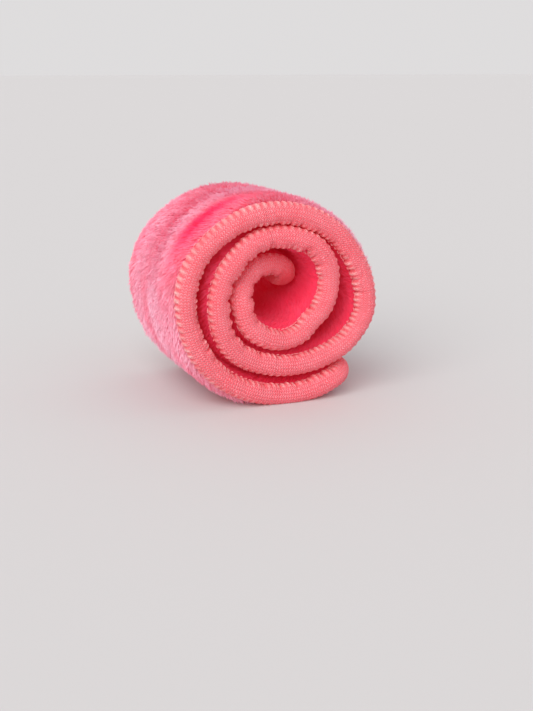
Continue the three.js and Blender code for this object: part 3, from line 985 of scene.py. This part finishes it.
# %% Hook strip and loop strip
PATCH_THICKNESS = 1.3 * MM
PATCH_LIFT = 0.3 * MM  # sunk into the plush below it
PATCH_STEP = 2 * MM
PATCH_COLUMNS = 26
PATCH_RIM = 1.5 * MM
PATCH_BACK = 0.2 * MM
HOOK_FINISH = make_thread_material("hook_strip", (0.80, 0.16, 0.22), (0.90, 0.34, 0.40))
LOOP_FINISH = make_thread_material("loop_strip", (0.92, 0.22, 0.27), (0.96, 0.45, 0.48))


def patch_start(side, size):
    return PATCH_START if side > 0 else LENGTH - PATCH_START - size[0]


def patch_rings(side, low, high, half):
    along = np.linspace(low, high, max(4, int((high - low) / PATCH_STEP)))
    share = np.linspace(-1, 1, PATCH_COLUMNS)
    across = np.sin(share * math.pi / 2)[None, :] * half + np.zeros((len(along), 1))
    crown = PATCH_THICKNESS * np.maximum(1 - share ** 16, 0)
    low_out = slab_half(along[:, None], across, side) - PATCH_LIFT
    upper, lower = low_out + crown, low_out - PATCH_BACK
    across, out = np.hstack([across, across[:, ::-1]]), side * np.hstack([upper, lower[:, ::-1]])
    return np.broadcast_to(along[:, None], across.shape), across, out


def make_patch(name, side, size, finish, tufts, tuft_length, tuft_width):
    start = patch_start(side, size)
    made = []
    for index in PIECES:
        low, high = max(CUTS[index], start), min(CUTS[index + 1], start + size[0])
        if high - low < 0.5 * MM:
            continue
        along, across, out = patch_rings(side, low, high, size[1] / 2)
        upward = np.zeros(out.shape + (3,))
        upward[..., 2] = side
        outer = (np.arange(out.shape[1]) < out.shape[1] / 2) & (np.abs(across) < size[1] / 2 - PATCH_RIM)
        values = [("pile", "FLOAT", outer.astype(float)),
                  ("lean", "FLOAT_VECTOR", direction_in_roll(along, upward))]
        mesh = ring_mesh(numbered(name, index), in_roll(along, across, out), values)
        slab = new_object(mesh.name, mesh, finish)
        fur = grown(slab, PILE_TREE, numbered(f"{name}_fibres", index), Tufts=tufts, Length=tuft_length,
                    Width=tuft_width, Ruffle=0.35, Seed=index + 50, Finish=finish)
        for piece in (slab, fur):
            ride_along(piece, index)
        made.append(slab)
    return made


hook = make_patch("hooks", -1, HOOK_SIZE, HOOK_FINISH, 0.9e6, 1.3 * MM, 0.3 * MM)
loops = make_patch("loops", 1, LOOP_SIZE, LOOP_FINISH, 2.2e6, 1.2 * MM, 0.34 * MM)
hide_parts("hook_strip")
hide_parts(*[name for name in frame["nodes"] if name.startswith("loop_strip")])
print("hook pieces", [one.name for one in hook], "loop pieces", [one.name for one in loops])

# %% [markdown]
# ## Stitches, by Geometry Nodes
# Every stitch is a short round-ended thread. A cloud of points says where each one lies, which way it
# runs and how long it is; the tree puts one thread on each point. The tape has two rows of seam stitches
# at its border on each face, and an overlock thread over each rib.

# %% The stitch tree
def make_stitch_tree():
    tree, given, result = new_tree(
        "stitches", "GeometryNodeTree",
        [("Geometry", "NodeSocketGeometry"), ("Thickness", "NodeSocketFloat", 0.0005),
         ("Finish", "NodeSocketMaterial")],
        [("Geometry", "NodeSocketGeometry")])
    size = given.outputs
    thread = add_node(tree, "GeometryNodeMeshUVSphere", {"Segments": 6, "Rings": 5, "Radius": 0.5})
    run = stored_value(tree, "run", "FLOAT_VECTOR")
    length = vector_node(tree, "LENGTH", run)["Value"]
    thickness = size["Thickness"]
    scale = add_node(tree, "ShaderNodeCombineXYZ", {"X": thickness, "Y": thickness, "Z": length}).outputs[0]
    put_on_points(tree, result, size["Geometry"], thread.outputs["Mesh"], run, scale, size["Finish"])
    return tree


STITCH_TREE = make_stitch_tree()


def sew(name, index, places, runs, thickness, finish):
    """One object with a stitch at each place, shape (stitches, 3), along each run."""
    mesh = bpy.data.meshes.new(name)
    mesh.from_pydata(places.tolist(), [], [])
    stored = mesh.attributes.new("run", "FLOAT_VECTOR", "POINT")
    stored.data.foreach_set("vector", runs.astype(np.float32).ravel())
    cloud = new_object(name, mesh)
    threads = grown(cloud, STITCH_TREE, numbered(name, index), Thickness=thickness, Finish=finish)
    bpy.data.objects.remove(cloud)
    ride_along(threads, index)
    return threads


# %% [markdown]
# A stitch is laid between two places given on the flat strip, as (along, across, out), so it follows the
# roll like everything else.

# %% Seam, overlock and box stitches
STITCH_PITCH = 2.9 * MM
STITCH_GAP = 0.35  # share of the pitch between two stitches
THREAD_THICKNESS = 0.42 * MM
SEAM_DEPTHS = (7.3 * MM, 6.2 * MM)  # of the two rows, in from the strip's edge
OVERLOCK_FROM, OVERLOCK_TO = 8.3 * MM, 5.6 * MM
SEAM_LIFT, OVERLOCK_LIFT = RIB_HEIGHT * 0.55, RIB_HEIGHT * 0.9
OVERLOCK_THICKNESS, BOX_THICKNESS = THREAD_THICKNESS * 1.6, THREAD_THICKNESS * 1.4


def on_tape(distance, depth, side, lift):
    place, inward = outline_place(distance)
    height = np.interp(depth, DEPTHS[:FLANGE_POINTS][::-1], HEIGHTS[:FLANGE_POINTS][::-1])
    flat = place + inward * (depth + tape_sway(distance)[:, None])
    return in_roll(flat[:, 0], flat[:, 1], side * (height + lift) + np.zeros(len(flat)))


def sew_tape(index, name, low, high):
    seam = np.arange(math.ceil(low / STITCH_PITCH), math.floor(high / STITCH_PITCH)) * STITCH_PITCH
    fine = np.linspace(low, high, 4000)
    phases = rib_phase(fine % LOOP) + np.floor(fine / LOOP) * LOOP / RIB_PITCH
    ribs = np.interp(np.arange(math.ceil(phases[0]), math.floor(phases[-1]) + 1), phases, fine)
    rows = []
    for side in (1, -1):
        for depth in SEAM_DEPTHS:
            start = on_tape(seam, depth, side, SEAM_LIFT)
            end = on_tape(seam + STITCH_PITCH * (1 - STITCH_GAP), depth, side, SEAM_LIFT)
            rows.append((start, end))
    start, end = [np.concatenate(points) for points in zip(*rows)]
    sew(f"{name}_seam", index, (start + end) / 2, end - start, THREAD_THICKNESS, SEAM_FINISH)
    over = [[on_tape(ribs, depth, side, OVERLOCK_LIFT) for side in (1, -1)]
            for depth in (OVERLOCK_FROM, OVERLOCK_TO)]
    start, end = [np.concatenate(points) for points in over]
    sew(f"{name}_overlock", index, (start + end) / 2, end - start, OVERLOCK_THICKNESS, OVERLOCK_FINISH)


def sew_box(name, side, size, finish):
    """A rectangle of stitches just inside a patch's borders."""
    start = patch_start(side, size)
    low, high, half = start + 2 * MM, start + size[0] - 2 * MM, size[1] / 2 - 2.5 * MM
    for index in PIECES:
        first, last = max(CUTS[index], low), min(CUTS[index + 1], high)
        if last - first < 2 * STITCH_PITCH:
            continue
        steps = np.arange(first, last - STITCH_PITCH * 0.5, STITCH_PITCH)
        ahead, wide = [STITCH_PITCH * (1 - STITCH_GAP), 0.0], [0.0, STITCH_PITCH * (1 - STITCH_GAP)]
        lines = [(np.stack([steps, steps * 0 + across], axis=1), ahead) for across in (-half, half)]
        turns = [end for end in (low, high) if first - 1e-9 <= end <= last + 1e-9]
        cross = np.arange(-half, half, STITCH_PITCH)
        lines += [(np.stack([cross * 0 + end, cross], axis=1), wide) for end in turns]
        ends = [(at, at + run) for at, run in lines]
        start_at, end_at = [np.concatenate(points) for points in zip(*ends)]
        out = [side * (slab_half(at[:, 0], at[:, 1], side) - PATCH_LIFT + PATCH_THICKNESS)
               for at in (start_at, end_at)]
        a, b = [in_roll(at[:, 0], at[:, 1], up) for at, up in zip((start_at, end_at), out)]
        sew(name, index, (a + b) / 2, b - a, BOX_THICKNESS, finish)


for index in PIECES:
    for name, low, high in outline_runs(index):
        sew_tape(index, name, low, high)
sew_box("hook_stitching", -1, HOOK_SIZE, SEAM_FINISH)
sew_box("loop_stitching", 1, LOOP_SIZE, SEAM_FINISH)
print("stitched")
